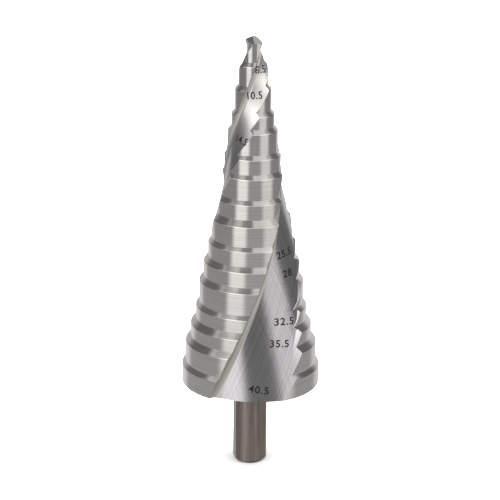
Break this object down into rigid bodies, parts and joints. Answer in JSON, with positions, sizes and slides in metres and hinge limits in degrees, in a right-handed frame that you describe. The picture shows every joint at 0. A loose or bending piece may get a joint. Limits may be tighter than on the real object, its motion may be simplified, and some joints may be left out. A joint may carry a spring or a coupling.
{
  "type": "step drill",
  "caption": "Conical step drill with two right-hand helical flutes cut through a staircase of cutting steps, a split drill point and a straight shank with flats.",
  "frame": {"origin": "centre of the shank's end face", "axes": "+Z along the drill's axis towards its point, -Y towards the front"},
  "size_m": [0.0404, 0.0374, 0.1294],
  "materials": {
    "tool_steel": "ground hardened tool steel, bright on the cutting steps, duller on the shank"
  },
  "bodies": {
    "root": {"step_drill": "tool_steel"}
  },
  "joints": []
}
